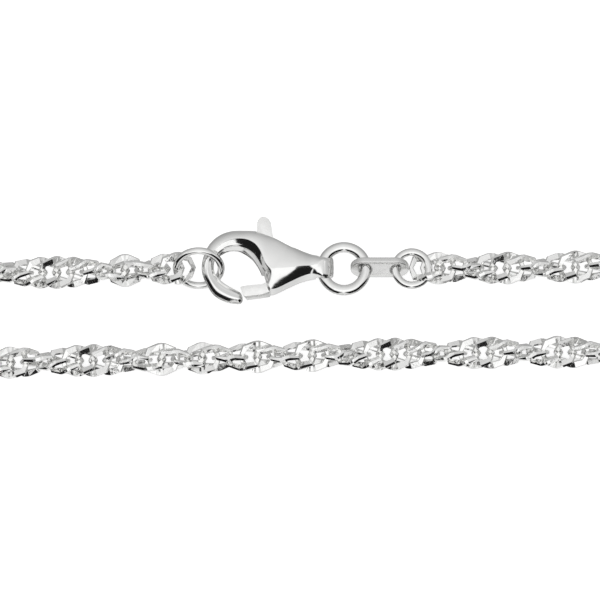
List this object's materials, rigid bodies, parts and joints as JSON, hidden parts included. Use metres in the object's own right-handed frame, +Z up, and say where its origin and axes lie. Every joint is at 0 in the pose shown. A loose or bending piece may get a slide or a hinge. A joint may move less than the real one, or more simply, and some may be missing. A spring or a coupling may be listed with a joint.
{
  "type": "singapore chain necklace",
  "caption": "Neck chain of slanted curb links twisted along its length, shut by a lobster clasp with a sprung lever, jump rings and a small plain tag.",
  "frame": {"origin": "on the table under the middle of the closed necklace as it lies", "axes": "+X along the two long strands, from the end ring towards the tag; +Z up from the table; the clasp is in the strand on the +Y side"},
  "size_m": [0.1964, 0.0444, 0.0029],
  "materials": {
    "diamond_cut_silver": "bright wire with flat diamond-cut faces",
    "polished_silver": "drawn wire, polished to a mirror",
    "cast_silver": "cast, tumbled and polished, softly uneven",
    "stamped_silver": "stamped sheet, satin"
  },
  "bodies": {
    "necklace": {"chain": "diamond_cut_silver", "end_ring": "polished_silver", "clasp_body": "cast_silver", "lever_pin": "polished_silver", "clasp_ring": "polished_silver", "tag": "stamped_silver", "tag_ring": "polished_silver"},
    "lever": {"clasp_lever": "stamped_silver"}
  },
  "joints": [
    {"name": "lever_hinge", "type": "hinge", "parent": "necklace", "child": "lever", "pos_m": [-0.0018, 0.00238, 0.00143], "axis": [0, 0, -1], "range_deg": [0, 28], "stiffness_Nm_per_rad": 0.002}
  ]
}
